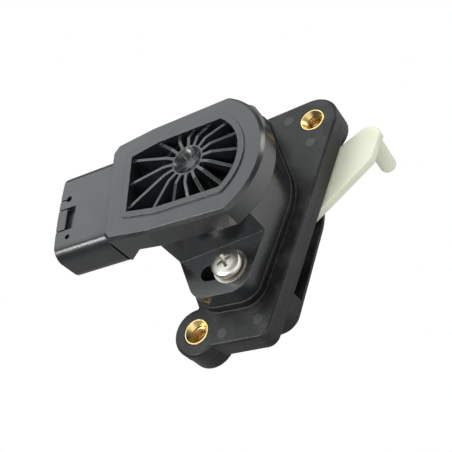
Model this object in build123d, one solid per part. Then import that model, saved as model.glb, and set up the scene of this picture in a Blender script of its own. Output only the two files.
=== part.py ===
from build123d import *
import os
from math import atan2, cos, degrees, hypot, radians, sin, tan

# Rotary position potentiometer with a sprung drive lever.
# The lever turns on the Z axis, the flange's front face is z = 0 and the ribbed head faces +Z.
# The connector points along -X but for a small turn. Lengths are in millimetres, angles in degrees.

# Flange: two flat layers with an ear at each end.
FRONT_LAYER = 3.8
REAR_LAYER = 2.7
EDGE_ROUND = 0.8
LOW_EAR = (-10.3, -36.2)
LOW_EAR_R = 7.0
LOW_BOSS_DEPTH = 9.2
TOP_EAR = (23.7, 25.0)
TOP_EAR_R = 7.8
TOP_BOSS_DEPTH = 8.4
TOP_CORNER = (0.0, 26.8)
FOOT_CORNER = (8.3, -37.7)
FLANGE_CORNER_R = 3.5
FLANGE_HUB_R = 21.0
FLANGE_BOTTOM_LEFT = (-4.8, -40.7)
FLANGE_SHARP_R = 0.5
EAR_NECK_R = 0.5
EAR_BOSS_STEP = 0.15
BOSS_GAP = 0.25

# Brass mounting inserts in the ears.
INSERT_R = 3.7
INSERT_THREAD_R = 2.1
INSERT_MOUTH_R = 3.2
INSERT_PROUD = 0.1
INSERT_GROOVE = 0.35
INSERT_GROOVE_WIDTH = 0.9
INSERT_GROOVE_SHARES = (0.35, 0.7)

# Turret pad that the potentiometer stands on.
PAD_HEIGHT = 2.7
PAD_MARGIN = 0.4

# Foot of the potentiometer with its two slotted lugs.
FOOT_HEIGHT = 5.6
BODY_R = 18.35
BACK_CORNER = (-11.5, 18.7)
SLOT_R = 24.4
SLOT_WIDTH = 4.6
SLOT_FROM = 76.0
SLOT_TO = 96.0
LUG_OUTER_TURN = 80.2
LUG_OUTER_BEYOND = 1.45
LUG_OUTER_R = 6.0
LUG_INNER_TURN = 96.9
LUG_INNER_BEYOND = 2.05
LUG_INNER_R = 5.1

# Column between the foot and the head.
COLUMN_HEIGHT = 9.7
COLUMN_TURN = 18.9
COLUMN_RIDGE_Y = 15.05
COLUMN_BACK = (-11.7, 18.9)

# Head cover. It and the connector are turned a little about the axis from the lugs.
HEAD_TURN = 2.5
HEAD_HEIGHT = 7.0
HEAD_R = 21.9
HEAD_SIDE_X = 10.9
HEAD_SHOULDER = (-13.2, 18.2)
HEAD_CORNER = (-25.4, 16.5)
HEAD_LEFT = -27.4
HEAD_LEFT_HALF = 14.0
HEAD_EDGE = 0.9
FRAME_RAISE = 0.4
FRAME_WIDTH = 1.8
COLLAR_DEPTH = 4.6
COLLAR_TOE = -25.2
COLLAR_END = -19.5
COLLAR_WALL = 2.2

# Ribbed window in the head.
WINDOW_R = 14.6
WINDOW_HALF = 11.4
WINDOW_SHOULDER = (-10.5, 11.2)
WINDOW_CORNER = (-19.7, 9.4)
POCKET_FLOOR = 1.4
RIB_COUNT = 16
RIB_PHASE = -1.4
RIB_WIDTH = 0.9
RIB_EDGE_DROP = 0.7
RIB_KINK_R = 7.5
RIB_KINK_RISE = 1.7
RIB_BITE = 0.5
HUB_R = 4.7
HUB_RISE = 1.5
HUB_RIM = 0.4
HUB_DISH = 2.0
FIN_COUNT = 8
FIN_WIDTH = 0.4
FIN_INNER_R = 1.4
FIN_FOOT = 0.35
CORE_RING_R = 13.4
CORE_RING_WALL = 0.8
CORE_RING_HEIGHT = 2.2

# Connector shell.
SHELL_X = -47.0
SHELL_LIP_DIP = 0.7
SHELL_GAP = 0.45
SHELL_HALF = 14.9
SHELL_BOTTOM = 9.2
SHELL_HEIGHT = 13.4
SHELL_CORNER = 4.0
SHELL_WALL = 1.7
SHELL_BACK = 2.6
NECK_HALF = 12.0
NECK_HEIGHT = 4.0
LATCH_WINDOW = (-43.8, -40.7, -6.2, 1.7)
LATCH_SLIT = 0.45
LATCH_SLIT_DEPTH = 0.9
KEY_NOTCH = (-43.8, 4.9)
KEY_NOTCH_R = 1.0
SMALL_NOTCH = (-42.3, -8.8)
SMALL_NOTCH_R = 0.8

# Terminals that run from the resistive board into the connector.
PIN_COUNT = 3
PIN_PITCH = 5.0
PIN_WIDTH = 1.5
PIN_THICK = 0.8
PIN_TIP = -42.0
PIN_ROOT = -10.6
PIN_Z = 15.9
PIN_CLEAR = 0.03

# Measuring chamber inside the column.
CHAMBER_R = 13.0
CHAMBER_FLOOR = 6.4
BOARD_R = 12.8
BOARD_BORE_R = 5.4
BOARD_THICK = 1.0
BOARD_Z = 12.4
LEDGE_R = 12.1
ROTOR_R = 11.4
ROTOR_THICK = 2.6
ROTOR_Z = 7.2
ROTOR_BOSS_R = 5.0
ROTOR_BOSS_TOP = 12.9
WIPER_TRACKS = (7.4, 9.6)
WIPER_LEN = 6.0
WIPER_WIDTH = 1.4
WIPER_SHEET = 0.2
WIPER_GAP = 0.1

# Shaft line.
SHAFT_R = 3.0
SHAFT_FLAT = 2.3
SHAFT_TOP = 13.6
SHAFT_BOTTOM = -10.9
FIT = 0.03
BUSH_R = 4.2
BUSH_FLANGE_R = 5.4
BUSH_FLANGE = 1.0
BUSH_BOTTOM = -5.6
BUSH_BOSS_R = 7.0
WASHER_R = 5.2
WASHER_THICK = 0.4
CLIP_R = 4.9
CLIP_THICK = 0.6
CLIP_GROOVE = 0.5
CLIP_OPENING = 60.0
STACK_GAP = 0.03
BODY_BORE_GAP = 1.0
SEAL_R = 5.2
SEAL_THICK = 1.4
SEAL_Z = 4.6
RECESS_R = 6.6
RECESS_TOP = 4.5
FACE_SEAL_R = 16.0
FACE_SEAL_WIRE = 0.8
FACE_SEAL_GAP = 0.05

# Drive lever.
DRUM_R = 15.8
DRUM_TOP = -6.9
DRUM_BOTTOM = -10.9
ARM_TOP = -7.5
ARM_BOTTOM = -10.3
ARM_UPPER_TURN = 29.6
ARM_UPPER_OFFSET = 1.7
ARM_LOWER_TURN = 40.7
ARM_TIP = ((36.9, 22.95), (39.5, 22.7), (41.45, 20.3), (38.25, 11.5))
ARM_TIP_ROUND = 1.2
DRIVE_PIN = (38.2, 19.0)
DRIVE_PIN_R = 2.5
DRIVE_PIN_END = -23.5
DRIVE_PIN_ROUND = 1.4
LEVER_HUB_R = 6.4
LEVER_HUB_TOP = -5.8

# Return spring round the lever's hub.
SPRING_R = 11.0
SPRING_WIRE = 0.75
SPRING_TURNS = 4
SPRING_PITCH = 1.75
SPRING_CLEAR = 0.3
SPRING_LEG = 1.2
POCKET_INNER = 8.6
POCKET_OUTER = 13.4
POCKET_IN_LEVER = 2.0

# Guard box that covers the lever's drum.
GUARD_R = 22.0
GUARD_CORNER = (8.6, -29.2)
GUARD_CORNER_R = 6.0
GUARD_LEFT_CORNER = (1.5, -29.2)
GUARD_WALL = 2.0
GUARD_BACK = 1.0
GUARD_ROOM = 0.4
WINDOW_FLOOR_Y = -27.0
WINDOW_STOP_GAP = 0.3
WINDOW_REACH = 46.0
WINDOW_START = 6.0
COVER_BORE_R = 14.4

# Clamp screws, their washers and the threaded inserts under them.
SCREW_TURN = 79.8
SCREW_R = 1.95
SCREW_HEAD_R = 4.25
SCREW_HEAD_EDGE = 1.3
SCREW_HEAD_CROWN = 1.1
SCREW_CROWN_BEND = (0.66, 0.7)
SCREW_RECESS_R = 2.2
SCREW_RECESS_DEPTH = 1.6
SCREW_RECESS_WIDTH = 0.9
SCREW_RECESS_TURN = 25.0
SCREW_TIP = -2.6
FLAT_WASHER_R = 4.9
FLAT_WASHER_THICK = 0.6
SPRING_WASHER_R = 4.1
SPRING_WASHER_THICK = 0.8
SPRING_WASHER_SPLIT = 0.7
WASHER_CLEAR = 0.1
NUT_R = 3.1
NUT_BOTTOM = -3.0
THREAD_CLEAR = 0.03

# Levels worked out from the sizes above.
FLANGE_FRONT = 0.0
FRONT_BACK = FLANGE_FRONT - FRONT_LAYER
REAR_BACK = FRONT_BACK - REAR_LAYER
PAD_TOP = FLANGE_FRONT + PAD_HEIGHT
FOOT_TOP = PAD_TOP + FOOT_HEIGHT
COLUMN_TOP = FOOT_TOP + COLUMN_HEIGHT
HEAD_TOP = COLUMN_TOP + HEAD_HEIGHT
GUARD_INSIDE = DRUM_BOTTOM - GUARD_ROOM
GUARD_OUTSIDE = GUARD_INSIDE - GUARD_BACK
SHELL_END = HEAD_LEFT - SHELL_GAP
THROUGH = 60.0
OVERCUT = 1.0
SINK = 0.1
JOIN_TOLERANCE = 0.01
SHARE_SLACK = 1e-9


def rod(radius, low, high, at=(0.0, 0.0)):
    """Return an upright cylinder between two levels."""
    centred = (Align.CENTER, Align.CENTER, Align.MIN)
    return Pos(at[0], at[1], low) * Cylinder(radius, high - low, align=centred)


def ring(outer, inner, low, high, at=(0.0, 0.0)):
    """Return an upright tube between two levels."""
    return rod(outer, low, high, at) - rod(inner, low - OVERCUT, high + OVERCUT, at)


def slab(sketch, low, high):
    """Return the prism of a flat outline between two levels."""
    return extrude(Pos(0, 0, low) * sketch, high - low, dir=(0, 0, 1))


def block(x0, x1, y0, y1, z0, z1):
    """Return a box given by its limits."""
    low_corner = (Align.MIN, Align.MIN, Align.MIN)
    return Pos(x0, y0, z0) * Box(x1 - x0, y1 - y0, z1 - z0, align=low_corner)


def polar(radius, angle):
    """Return a point at a radius and an angle about the lever's axis."""
    return (radius * cos(radians(angle)), radius * sin(radians(angle)))


def wrap(*circles):
    """Return the outline of a belt drawn round circles, each given by its centre and radius."""
    edges = [Edge.make_circle(radius, Plane((x, y, 0))) for (x, y), radius in circles]
    return make_hull(edges)


def mirrored(point):
    """Return a point on the other side of the X axis."""
    return (point[0], -point[1])


def head_turned(shape):
    """Return a shape turned with the head and the connector."""
    return Rot(0, 0, HEAD_TURN) * shape


def write(name, shape):
    """Save one piece."""
    export_step(shape, f"parts/{name}.step")


# Flange outlines

def lug_outer(side):
    """Return the centre of a lug's round corner away from the connector."""
    return polar(SLOT_R + LUG_OUTER_BEYOND, side * LUG_OUTER_TURN)


def lug_inner(side):
    """Return the centre of a lug's round corner towards the connector."""
    return polar(SLOT_R + LUG_INNER_BEYOND, side * LUG_INNER_TURN)


def flange_plate():
    """Return the flange's outline without its lower ear."""
    return wrap(
        (TOP_EAR, TOP_EAR_R),
        (TOP_CORNER, FLANGE_CORNER_R),
        (FOOT_CORNER, FLANGE_CORNER_R),
        (FLANGE_BOTTOM_LEFT, FLANGE_SHARP_R),
        (lug_inner(-1), LUG_INNER_R + PAD_MARGIN),
        ((0.0, 0.0), FLANGE_HUB_R),
    )


def flange_front():
    """Return the front layer's outline, with the lower ear's hollow corners rounded."""
    ear = Pos(*LOW_EAR, 0) * Circle(LOW_EAR_R)
    outline = flange_plate() + ear
    hollow = [
        corner for corner in outline.vertices()
        if abs(hypot(corner.X - LOW_EAR[0], corner.Y - LOW_EAR[1]) - LOW_EAR_R) < JOIN_TOLERANCE
    ]
    return fillet(hollow, EAR_NECK_R)


def foot_outline(margin=0.0):
    """Return the outline of the potentiometer's foot with its two lugs."""
    circles = [((0.0, 0.0), BODY_R + margin)]
    for side in (1, -1):
        circles.append((lug_outer(side), LUG_OUTER_R + margin))
        circles.append((lug_inner(side), LUG_INNER_R + margin))
        circles.append(((BACK_CORNER[0], side * BACK_CORNER[1]), FLANGE_SHARP_R + margin))
    return wrap(*circles)


def insert_seat(at, low):
    """Return the space that a brass insert takes in its ear."""
    return rod(INSERT_R, low - OVERCUT, FLANGE_FRONT + OVERCUT, at)


def screw_side(side):
    """Return the place of the clamp screw on one side of the X axis."""
    return polar(SLOT_R, side * SCREW_TURN)


# Housing pieces

def front_housing():
    """Return the front layer with the turret pad, the lower ear and the spring pocket."""
    plate = slab(flange_front(), FRONT_BACK, FLANGE_FRONT)
    front_rim = plate.faces().sort_by(Axis.Z)[-1].outer_wire().edges()
    body = fillet(front_rim, EDGE_ROUND)
    body += slab(foot_outline(PAD_MARGIN), FRONT_BACK, PAD_TOP)
    body += rod(LOW_EAR_R - EAR_BOSS_STEP, -LOW_BOSS_DEPTH, FRONT_BACK, LOW_EAR)
    body -= insert_seat(LOW_EAR, -LOW_BOSS_DEPTH)
    body -= insert_seat(TOP_EAR, FRONT_BACK)
    spring_top = DRUM_TOP - POCKET_IN_LEVER + spring_height() + 2 * SPRING_CLEAR
    body -= ring(POCKET_OUTER, POCKET_INNER, FRONT_BACK - OVERCUT, spring_top)
    body -= rod(BUSH_R, FRONT_BACK - OVERCUT, PAD_TOP + OVERCUT)
    body -= rod(BUSH_FLANGE_R, PAD_TOP - BUSH_FLANGE, PAD_TOP + OVERCUT)
    body += ring(BUSH_BOSS_R, BUSH_R, BUSH_BOTTOM, FRONT_BACK)
    groove = FACE_SEAL_WIRE + FACE_SEAL_GAP
    groove_floor = PAD_TOP - 2 * FACE_SEAL_WIRE
    body -= ring(FACE_SEAL_R + groove, FACE_SEAL_R - groove, groove_floor, PAD_TOP + OVERCUT)
    for side in (1, -1):
        body -= rod(NUT_R, NUT_BOTTOM, PAD_TOP + OVERCUT, screw_side(side))
    leg = spring_leg_hole(spring_top - SPRING_CLEAR, spring_top + SPRING_LEG)
    return body - leg


def guard_outline(inset=0.0):
    """Return the outline of the guard box, or of the room inside its wall."""
    return wrap(
        ((0.0, 0.0), GUARD_R - inset),
        (GUARD_CORNER, GUARD_CORNER_R - inset),
        (GUARD_LEFT_CORNER, GUARD_CORNER_R - inset),
    )


def swing_window():
    """Return the gap in the guard's side that the lever's arm swings in."""
    along = (cos(radians(ARM_UPPER_TURN)), sin(radians(ARM_UPPER_TURN)))
    offset = ARM_UPPER_OFFSET + WINDOW_STOP_GAP
    top = [
        (reach * along[0] - offset * along[1], reach * along[1] + offset * along[0])
        for reach in (WINDOW_START, WINDOW_REACH)
    ]
    corners = [(WINDOW_START, WINDOW_FLOOR_Y), top[0], top[1], (WINDOW_REACH, WINDOW_FLOOR_Y)]
    return slab(Polygon(*corners, align=None), GUARD_INSIDE, REAR_BACK)


def rear_cover():
    """Return the rear layer with the upper ear's boss and the guard box."""
    body = slab(flange_plate(), REAR_BACK, FRONT_BACK)
    body += rod(TOP_EAR_R, -TOP_BOSS_DEPTH, FRONT_BACK, TOP_EAR)
    body += slab(guard_outline(), GUARD_OUTSIDE, REAR_BACK)
    body -= slab(guard_outline(GUARD_WALL), GUARD_INSIDE, REAR_BACK)
    body -= swing_window()
    body -= rod(COVER_BORE_R, REAR_BACK - OVERCUT, FRONT_BACK + OVERCUT)
    body -= rod(LOW_EAR_R + BOSS_GAP, GUARD_OUTSIDE - OVERCUT, FRONT_BACK + OVERCUT, LOW_EAR)
    return body - insert_seat(TOP_EAR, -TOP_BOSS_DEPTH)


def mounting_insert(at, depth):
    """Return a brass threaded insert with a countersunk mouth and two grip grooves."""
    body = rod(INSERT_R, -depth, FLANGE_FRONT + INSERT_PROUD, at)
    body -= rod(INSERT_THREAD_R, -depth - OVERCUT, FLANGE_FRONT + OVERCUT, at)
    mouth = INSERT_MOUTH_R - INSERT_THREAD_R
    cone = Cone(INSERT_THREAD_R, INSERT_MOUTH_R, mouth, align=(Align.CENTER, Align.CENTER, Align.MAX))
    body -= Pos(at[0], at[1], FLANGE_FRONT + INSERT_PROUD) * cone
    for share in INSERT_GROOVE_SHARES:
        level = -depth * share
        groove_r = INSERT_R - INSERT_GROOVE
        body -= ring(INSERT_R + OVERCUT, groove_r, level, level + INSERT_GROOVE_WIDTH, at)
    return body


def screw_insert(side):
    """Return the threaded sleeve that a clamp screw turns into."""
    at = screw_side(side)
    return ring(NUT_R, SCREW_R + THREAD_CLEAR, NUT_BOTTOM, PAD_TOP, at)


# Potentiometer body and cover

def column_outline():
    """Return the outline of the column between the foot and the head."""
    turn = radians(COLUMN_TURN)
    touch = (BODY_R * cos(turn), BODY_R * sin(turn))
    ridge = (touch[0] - (COLUMN_RIDGE_Y - touch[1]) * tan(turn), COLUMN_RIDGE_Y)
    right = [touch, ridge, COLUMN_BACK]
    path = Polyline(*right, *[mirrored(p) for p in reversed(right)])
    return make_face(path + ThreePointArc(mirrored(touch), (BODY_R, 0), touch))


def head_outline(inset=0.0):
    """Return the outline of the head cover."""
    side = (HEAD_SIDE_X, (HEAD_R**2 - HEAD_SIDE_X**2) ** 0.5)
    half = [side, HEAD_SHOULDER, HEAD_CORNER, (HEAD_LEFT, HEAD_LEFT_HALF)]
    path = Polyline(*half, *[mirrored(p) for p in reversed(half)])
    face = make_face(path + ThreePointArc(mirrored(side), (HEAD_R, 0), side))
    return offset(face, -inset) if inset else face


def window_half():
    """Return the corners of the head's window above the X axis, from right to left."""
    side = ((WINDOW_R**2 - WINDOW_HALF**2) ** 0.5, WINDOW_HALF)
    return [side, WINDOW_SHOULDER, WINDOW_CORNER]


def window_outline():
    """Return the outline of the head's window."""
    half = window_half()
    path = Polyline(*half, *[mirrored(p) for p in reversed(half)])
    return make_face(path + ThreePointArc(mirrored(half[0]), (WINDOW_R, 0), half[0]))


def window_reach(angle):
    """Return how far the window's edge is from the hub in one direction."""
    across, up = cos(radians(angle)), abs(sin(radians(angle)))
    corners = window_half() + [(WINDOW_CORNER[0], 0.0)]
    if degrees(atan2(up, across)) <= degrees(atan2(corners[0][1], corners[0][0])):
        return WINDOW_R
    reach = WINDOW_R
    for (x0, y0), (x1, y1) in zip(corners, corners[1:]):
        turn = across * (y1 - y0) - up * (x1 - x0)
        share = (up * x0 - across * y0) / turn if turn else -1
        if -SHARE_SLACK <= share <= 1 + SHARE_SLACK:
            reach = hypot(x0 + share * (x1 - x0), y0 + share * (y1 - y0))
    return reach


def window_rib(angle, floor):
    """Return one upright rib from the hub's wall to the window's edge."""
    reach = window_reach(angle) + RIB_BITE
    root = HUB_R - HUB_RIM / 2
    profile = Polygon(
        (root, floor),
        (reach, floor),
        (reach, HEAD_TOP - RIB_EDGE_DROP),
        (RIB_KINK_R, HEAD_TOP + RIB_KINK_RISE),
        (root, HEAD_TOP + HUB_RISE),
        align=None,
    )
    wall = extrude(Plane.XZ * profile, RIB_WIDTH / 2, both=True)
    return Rot(0, 0, angle) * wall


def hub_fin(angle):
    """Return one thin fin that runs down the hub's dish, midway between two ribs."""
    rim = HEAD_TOP + HUB_RISE
    outer = HUB_R - HUB_RIM / 2
    foot = rim - HUB_DISH
    profile = Polygon(
        (FIN_INNER_R, foot),
        (outer, foot),
        (outer, rim),
        (FIN_INNER_R, foot + FIN_FOOT),
        align=None,
    )
    wall = extrude(Plane.XZ * profile, FIN_WIDTH / 2, both=True)
    return Rot(0, 0, angle) * wall


def window_hub(floor):
    """Return the hub in the middle of the ribs: a post with a dished top and thin fins."""
    rim = HEAD_TOP + HUB_RISE
    dish_r = HUB_R - HUB_RIM
    ball = (dish_r**2 + HUB_DISH**2) / (2 * HUB_DISH)
    hub = rod(HUB_R, floor, rim) - Pos(0, 0, rim - HUB_DISH + ball) * Sphere(ball)
    first = RIB_PHASE + 1.5 * 360 / RIB_COUNT
    for index in range(FIN_COUNT):
        hub += hub_fin(first + index * 360 / FIN_COUNT)
    return hub


def pot_cover():
    """Return the head cover: rim, raised frame, cored window, ribs, hub and collar."""
    floor = COLUMN_TOP + POCKET_FLOOR
    body = slab(head_outline(), COLUMN_TOP, HEAD_TOP)
    body = chamfer(body.faces().sort_by(Axis.Z)[-1].outer_wire().edges(), HEAD_EDGE)
    frame = offset(window_outline(), FRAME_WIDTH)
    body += slab(frame, HEAD_TOP - HEAD_EDGE, HEAD_TOP + FRAME_RAISE)
    body -= slab(window_outline(), floor, HEAD_TOP + OVERCUT)
    fan = window_hub(floor)
    fan += ring(CORE_RING_R, CORE_RING_R - CORE_RING_WALL, floor, floor + CORE_RING_HEIGHT)
    for index in range(RIB_COUNT):
        fan += window_rib(RIB_PHASE + index * 360 / RIB_COUNT, floor)
    return head_turned(body + fan + collar())


def collar():
    """Return the two cheeks that hang from the head beside the connector's root."""
    low = COLUMN_TOP - COLLAR_DEPTH
    left = Polygon(
        (HEAD_LEFT - OVERCUT, low),
        (COLLAR_TOE, low),
        (COLLAR_END, COLUMN_TOP),
        (HEAD_LEFT - OVERCUT, COLUMN_TOP),
        align=None,
    )
    cheeks = slab(head_outline(), low, COLUMN_TOP) & extrude(Plane.XZ * left, THROUGH, both=True)
    core = slab(head_outline(COLLAR_WALL), low - OVERCUT, COLUMN_TOP)
    inside = HEAD_LEFT + COLLAR_WALL + OVERCUT
    half = HEAD_LEFT_HALF
    mouth = block(HEAD_LEFT - OVERCUT, inside, -half, half, low - OVERCUT, COLUMN_TOP)
    return cheeks - core - mouth


def lug_slot(side):
    """Return the curved adjusting slot in one lug."""
    ends = (side * SLOT_FROM, side * SLOT_TO)
    middle = (ends[0] + ends[1]) / 2
    path = ThreePointArc(polar(SLOT_R, ends[0]), polar(SLOT_R, middle), polar(SLOT_R, ends[1]))
    return slab(SlotArc(path, SLOT_WIDTH), PAD_TOP - OVERCUT, FOOT_TOP + OVERCUT)


def connector_shell():
    """Return the connector's hollow shell with its latch window and key notches."""
    top = SHELL_BOTTOM + SHELL_HEIGHT
    middle = SHELL_BOTTOM + SHELL_HEIGHT / 2
    side_plane = Plane((0, 0, 0), x_dir=(0, 1, 0), z_dir=(1, 0, 0))
    outer = RectangleRounded(2 * SHELL_HALF, SHELL_HEIGHT, SHELL_CORNER)
    room = RectangleRounded(
        2 * (SHELL_HALF - SHELL_WALL), SHELL_HEIGHT - 2 * SHELL_WALL, SHELL_CORNER - SHELL_WALL
    )
    body = Pos(SHELL_X, 0, middle) * extrude(side_plane * outer, SHELL_END - SHELL_X)
    lip = (SHELL_X + SHELL_LIP_DIP, SHELL_HALF)
    plan_path = Polyline(lip, (SHELL_END, SHELL_HALF), (SHELL_END, -SHELL_HALF), mirrored(lip))
    plan = make_face(plan_path + ThreePointArc(mirrored(lip), (SHELL_X, 0), lip))
    body = body & slab(plan, SHELL_BOTTOM, top)
    mouth = SHELL_X - OVERCUT
    body -= Pos(mouth, 0, middle) * extrude(side_plane * room, SHELL_END - SHELL_BACK - mouth)
    x0, x1, y0, y1 = LATCH_WINDOW
    low = top - SHELL_WALL - OVERCUT
    high = top + OVERCUT
    body -= block(x0, x1, y0, y1, low, high)
    for y in (y0, y1 - LATCH_SLIT):
        body -= block(mouth, x0 + OVERCUT, y, y + LATCH_SLIT, top - LATCH_SLIT_DEPTH, high)
    body -= rod(KEY_NOTCH_R, low, high, KEY_NOTCH)
    half_slit = LATCH_SLIT / 2
    body -= block(mouth, KEY_NOTCH[0], KEY_NOTCH[1] - half_slit, KEY_NOTCH[1] + half_slit, low, high)
    return body - rod(SMALL_NOTCH_R, low, high, SMALL_NOTCH)


def pin_rows():
    """Return the Y place of each terminal."""
    return [(index - (PIN_COUNT - 1) / 2) * PIN_PITCH for index in range(PIN_COUNT)]


def pot_body():
    """Return the moulded body: slotted foot, column, neck and connector shell."""
    body = slab(foot_outline(), PAD_TOP, FOOT_TOP)
    body += slab(column_outline(), PAD_TOP, COLUMN_TOP)
    body += head_turned(neck() + connector_shell())
    for side in (1, -1):
        body -= lug_slot(side)
    body -= rod(CHAMBER_R, BOARD_Z, COLUMN_TOP + OVERCUT)
    body -= rod(LEDGE_R, CHAMBER_FLOOR, COLUMN_TOP)
    body -= rod(RECESS_R, PAD_TOP - OVERCUT, RECESS_TOP)
    body -= rod(SHAFT_R + BODY_BORE_GAP, PAD_TOP, CHAMBER_FLOOR + OVERCUT)
    body -= rod(SEAL_R, SEAL_Z, CHAMBER_FLOOR + OVERCUT)
    for y in pin_rows():
        half_width = PIN_WIDTH / 2 + PIN_CLEAR
        half_thick = PIN_THICK / 2 + PIN_CLEAR
        start = SHELL_END - SHELL_BACK - OVERCUT
        end = -CHAMBER_R / 2
        slot = block(start, end, y - half_width, y + half_width, PIN_Z - half_thick, PIN_Z + half_thick)
        body -= head_turned(slot)
    return body


def neck():
    """Return the bridge between the column and the connector's shell."""
    start = SHELL_END - SHELL_BACK / 2
    end = COLUMN_BACK[0] + OVERCUT
    return block(start, end, -NECK_HALF, NECK_HALF, COLUMN_TOP - NECK_HEIGHT, COLUMN_TOP)


def terminal(y):
    """Return one terminal: a blade in the connector and a leg down to the board."""
    half = PIN_WIDTH / 2
    blade = block(PIN_TIP, PIN_ROOT, y - half, y + half, PIN_Z - PIN_THICK / 2, PIN_Z + PIN_THICK / 2)
    leg = block(PIN_ROOT - PIN_THICK, PIN_ROOT, y - half, y + half, BOARD_Z + BOARD_THICK, PIN_Z)
    tip = [edge for edge in blade.edges().filter_by(Axis.Y) if edge.center().X < PIN_TIP + PIN_THICK]
    return head_turned(chamfer(tip, PIN_THICK / 4) + leg)


# Measuring parts

def track_board():
    """Return the resistive board that the wipers slide on."""
    return ring(BOARD_R, BOARD_BORE_R, BOARD_Z, BOARD_Z + BOARD_THICK)


def flat_bore(low, high):
    """Return the flatted hole that turns with the shaft."""
    bore = rod(SHAFT_R + FIT, low, high)
    return bore - block(SHAFT_FLAT + FIT, THROUGH, -THROUGH, THROUGH, low - OVERCUT, high + OVERCUT)


def rotor():
    """Return the disc that the shaft turns inside the chamber."""
    body = rod(ROTOR_R, ROTOR_Z, ROTOR_Z + ROTOR_THICK)
    body += rod(ROTOR_BOSS_R, ROTOR_Z, ROTOR_BOSS_TOP)
    return body - flat_bore(ROTOR_Z - OVERCUT, ROTOR_BOSS_TOP + OVERCUT)


def wiper_contacts():
    """Return the bridge of two sprung fingers that the rotor carries."""
    base = ROTOR_Z + ROTOR_THICK
    top = BOARD_Z - WIPER_GAP
    inner = WIPER_TRACKS[0] - WIPER_WIDTH / 2
    outer = WIPER_TRACKS[1] + WIPER_WIDTH / 2
    body = block(inner, outer, -WIPER_LEN / 2 - WIPER_WIDTH, -WIPER_LEN / 2, base, base + WIPER_SHEET)
    for track in WIPER_TRACKS:
        finger = Polygon(
            (-WIPER_LEN / 2 - WIPER_SHEET, base),
            (-WIPER_LEN / 2, base),
            (WIPER_LEN / 2, top - WIPER_SHEET),
            (WIPER_LEN / 2, top),
            (WIPER_LEN / 2 - WIPER_SHEET, top),
            (-WIPER_LEN / 2 - WIPER_SHEET, base + WIPER_SHEET),
            align=None,
        )
        side_plane = Plane((track - WIPER_WIDTH / 2, 0, 0), x_dir=(0, 1, 0), z_dir=(1, 0, 0))
        body += extrude(side_plane * finger, WIPER_WIDTH)
    return body


def shaft():
    """Return the steel shaft with a flat at each end and a clip groove."""
    body = rod(SHAFT_R, SHAFT_BOTTOM, SHAFT_TOP)
    body -= block(SHAFT_FLAT, THROUGH, -THROUGH, THROUGH, ROTOR_Z - OVERCUT, SHAFT_TOP + OVERCUT)
    body -= block(SHAFT_FLAT, THROUGH, -THROUGH, THROUGH, SHAFT_BOTTOM - OVERCUT, LEVER_HUB_TOP)
    groove_top = clip_level() + CLIP_THICK
    return body - ring(SHAFT_R + OVERCUT, SHAFT_R - CLIP_GROOVE, clip_level(), groove_top)


def bush():
    """Return the flanged bearing bush that is pressed into the front housing."""
    body = rod(BUSH_R, BUSH_BOTTOM, PAD_TOP) + rod(BUSH_FLANGE_R, PAD_TOP - BUSH_FLANGE, PAD_TOP)
    return body - rod(SHAFT_R + FIT, BUSH_BOTTOM - OVERCUT, PAD_TOP + OVERCUT)


def thrust_washer():
    """Return the washer between the bush and the clip."""
    low = PAD_TOP + STACK_GAP
    return ring(WASHER_R, SHAFT_R + FIT, low, low + WASHER_THICK)


def clip_level():
    """Return the lower face of the clip and of its groove."""
    return PAD_TOP + 2 * STACK_GAP + WASHER_THICK


def retaining_clip():
    """Return the open clip that holds the shaft in the bush."""
    low = clip_level() + STACK_GAP / 2
    high = clip_level() + CLIP_THICK - STACK_GAP / 2
    body = ring(CLIP_R, SHAFT_R - CLIP_GROOVE + FIT, low, high)
    reach = CLIP_R + OVERCUT
    half = reach * tan(radians(CLIP_OPENING / 2))
    mouth = Polygon((0, 0), (-reach, half), (-reach, -half), align=None)
    return body - slab(mouth, low - OVERCUT, high + OVERCUT)


def shaft_seal():
    """Return the rubber ring round the shaft in the body's floor."""
    return ring(SEAL_R, SHAFT_R + FIT, SEAL_Z, SEAL_Z + SEAL_THICK)


def face_seal():
    """Return the ring that seals the potentiometer's foot to the pad."""
    return Pos(0, 0, PAD_TOP - FACE_SEAL_WIRE) * Torus(FACE_SEAL_R, FACE_SEAL_WIRE - FACE_SEAL_GAP / 2)


# Lever and spring

def arm_outline():
    """Return the outline of the lever's arm, from the drum to its tip."""
    upper = radians(ARM_UPPER_TURN)
    lower = radians(ARM_LOWER_TURN)
    start = (-ARM_UPPER_OFFSET * sin(upper), ARM_UPPER_OFFSET * cos(upper))
    touch = (DRUM_R * sin(lower), -DRUM_R * cos(lower))
    face = Polygon(start, *ARM_TIP, touch, align=None)
    foot = ARM_TIP[3]
    tip = face.vertices().filter_by(lambda v: v.Y > foot[1] + ARM_TIP_ROUND)
    return fillet(tip, ARM_TIP_ROUND)


def spring_height():
    """Return the length of the wound spring along its axis."""
    return SPRING_TURNS * SPRING_PITCH + 2 * SPRING_WIRE


def spring_leg_hole(low, high):
    """Return the hole that one end of the spring stands in."""
    return rod(SPRING_WIRE + SPRING_CLEAR, low, high, (SPRING_R, 0))


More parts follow.
